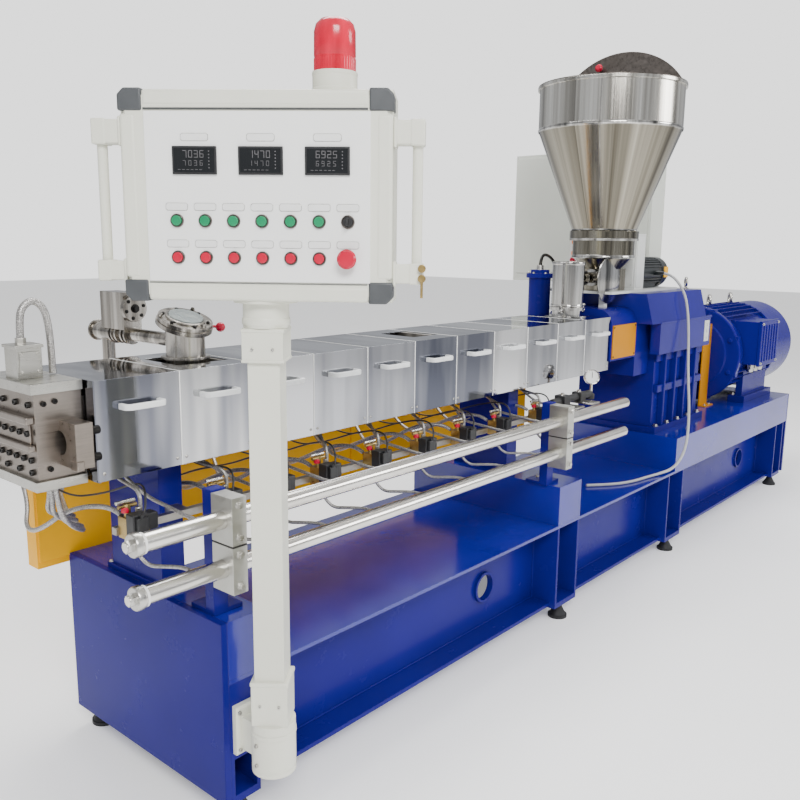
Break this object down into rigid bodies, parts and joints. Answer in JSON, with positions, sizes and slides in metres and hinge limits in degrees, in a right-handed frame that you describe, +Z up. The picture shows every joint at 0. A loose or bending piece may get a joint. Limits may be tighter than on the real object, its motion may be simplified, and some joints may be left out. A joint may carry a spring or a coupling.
{
  "type": "twin-screw plastic extruder",
  "caption": "Twin-screw plastic compounding extruder on a welded base, with covered barrels, drive motor, feeder with conical hopper and swivelling control panel.",
  "frame": {"origin": "on the floor, at the centre of the sole of the front levelling foot at the die end", "axes": "+X along the barrels from the die to the motor, +Y from the operator side to the rear, +Z up"},
  "size_m": [5.238, 1.7618, 2.4852],
  "materials": {
    "foot_rubber": "matt",
    "blue_paint": "gloss",
    "deck_paint": "gloss",
    "yellow_paint": "satin",
    "barrel_steel": "satin",
    "mirror_steel": "polished",
    "white_handle": "gloss",
    "die_steel": "satin",
    "die_plate": "satin",
    "grey_box": "satin",
    "pot_steel": "satin",
    "sight_glass": "clear",
    "dark_paint": "satin",
    "hopper_steel": "polished",
    "lid_steel": "satin",
    "cabinet_paint": "satin",
    "pipe_steel": "satin",
    "valve_brass": "satin",
    "hose_braid": "braided",
    "panel_paint": "satin",
    "beacon_grey": "satin",
    "beacon_red": "translucent",
    "grey_cable": "matt"
  },
  "bodies": {
    "machine": {"barrel_covers": "mirror_steel", "barrel_row": "barrel_steel", "barrel_supports": "blue_paint", "base_deck": "deck_paint", "base_end_plates": "blue_paint", "base_girders": "blue_paint", "blank_badge": "yellow_paint", "clamp_brackets": "blue_paint", "cooling_hoses": "hose_braid", "cooling_valves": "valve_brass", "coupling_guard": "yellow_paint", "deck_blocks": "deck_paint", "die_block": "die_steel", "die_cover_plates": "die_plate", "die_junction_box": "grey_box", "die_side_lug": "die_steel", "drive_coupling": "die_steel", "feed_stack": "mirror_steel", "feeder_bowl": "hopper_steel", "feeder_cable": "grey_cable", "feeder_housing": "cabinet_paint", "feeder_motor": "dark_paint", "feeder_plate": "cabinet_paint", "feeder_switch_box": "grey_box", "gearbox_hood": "blue_paint", "gearbox_housing": "blue_paint", "gearbox_lantern": "blue_paint", "handle_arms": "white_handle", "handle_bars": "white_handle", "hopper_fixed_lid": "lid_steel", "hopper_shell": "hopper_steel", "levelling_feet": "foot_rubber", "motor_body": "blue_paint", "motor_fan_cowl": "blue_paint", "motor_terminal_box": "blue_paint", "oil_filter": "blue_paint", "open_vent_cover": "mirror_steel", "pipe_clamps": "grey_box", "post_wall_joint": "panel_paint", "raised_bed": "deck_paint", "rear_cabinet": "cabinet_paint", "valve_rail": "barrel_steel", "vent_glass": "sight_glass", "vent_lid": "pot_steel", "vent_pipework": "pot_steel", "vent_pot": "pot_steel", "water_manifolds": "pipe_steel", "wiring_trough": "yellow_paint"},
    "arm": {"panel_post": "panel_paint"},
    "panel": {"panel_collar": "panel_paint", "control_enclosure": "panel_paint", "panel_handles": "panel_paint", "beacon_base": "beacon_grey", "beacon_lens": "beacon_red"},
    "hopper_lid": {"hopper_hinged_lid": "lid_steel"}
  },
  "joints": [
    {"name": "arm_swivel", "type": "hinge", "parent": "machine", "child": "arm", "pos_m": [0.005, -0.145, 0.321], "axis": [0, 0, 1], "range_deg": [-60, 110]},
    {"name": "panel_swivel", "type": "hinge", "parent": "arm", "child": "panel", "pos_m": [0.005, -0.145, 1.348], "axis": [0, 0, 1], "range_deg": [-150, 150]},
    {"name": "hopper_lid_hinge", "type": "hinge", "parent": "machine", "child": "hopper_lid", "pos_m": [2.74857, 0.37378, 2.301], "axis": [0.1736, -0.9848, 0], "range_deg": [-82, 25]}
  ]
}
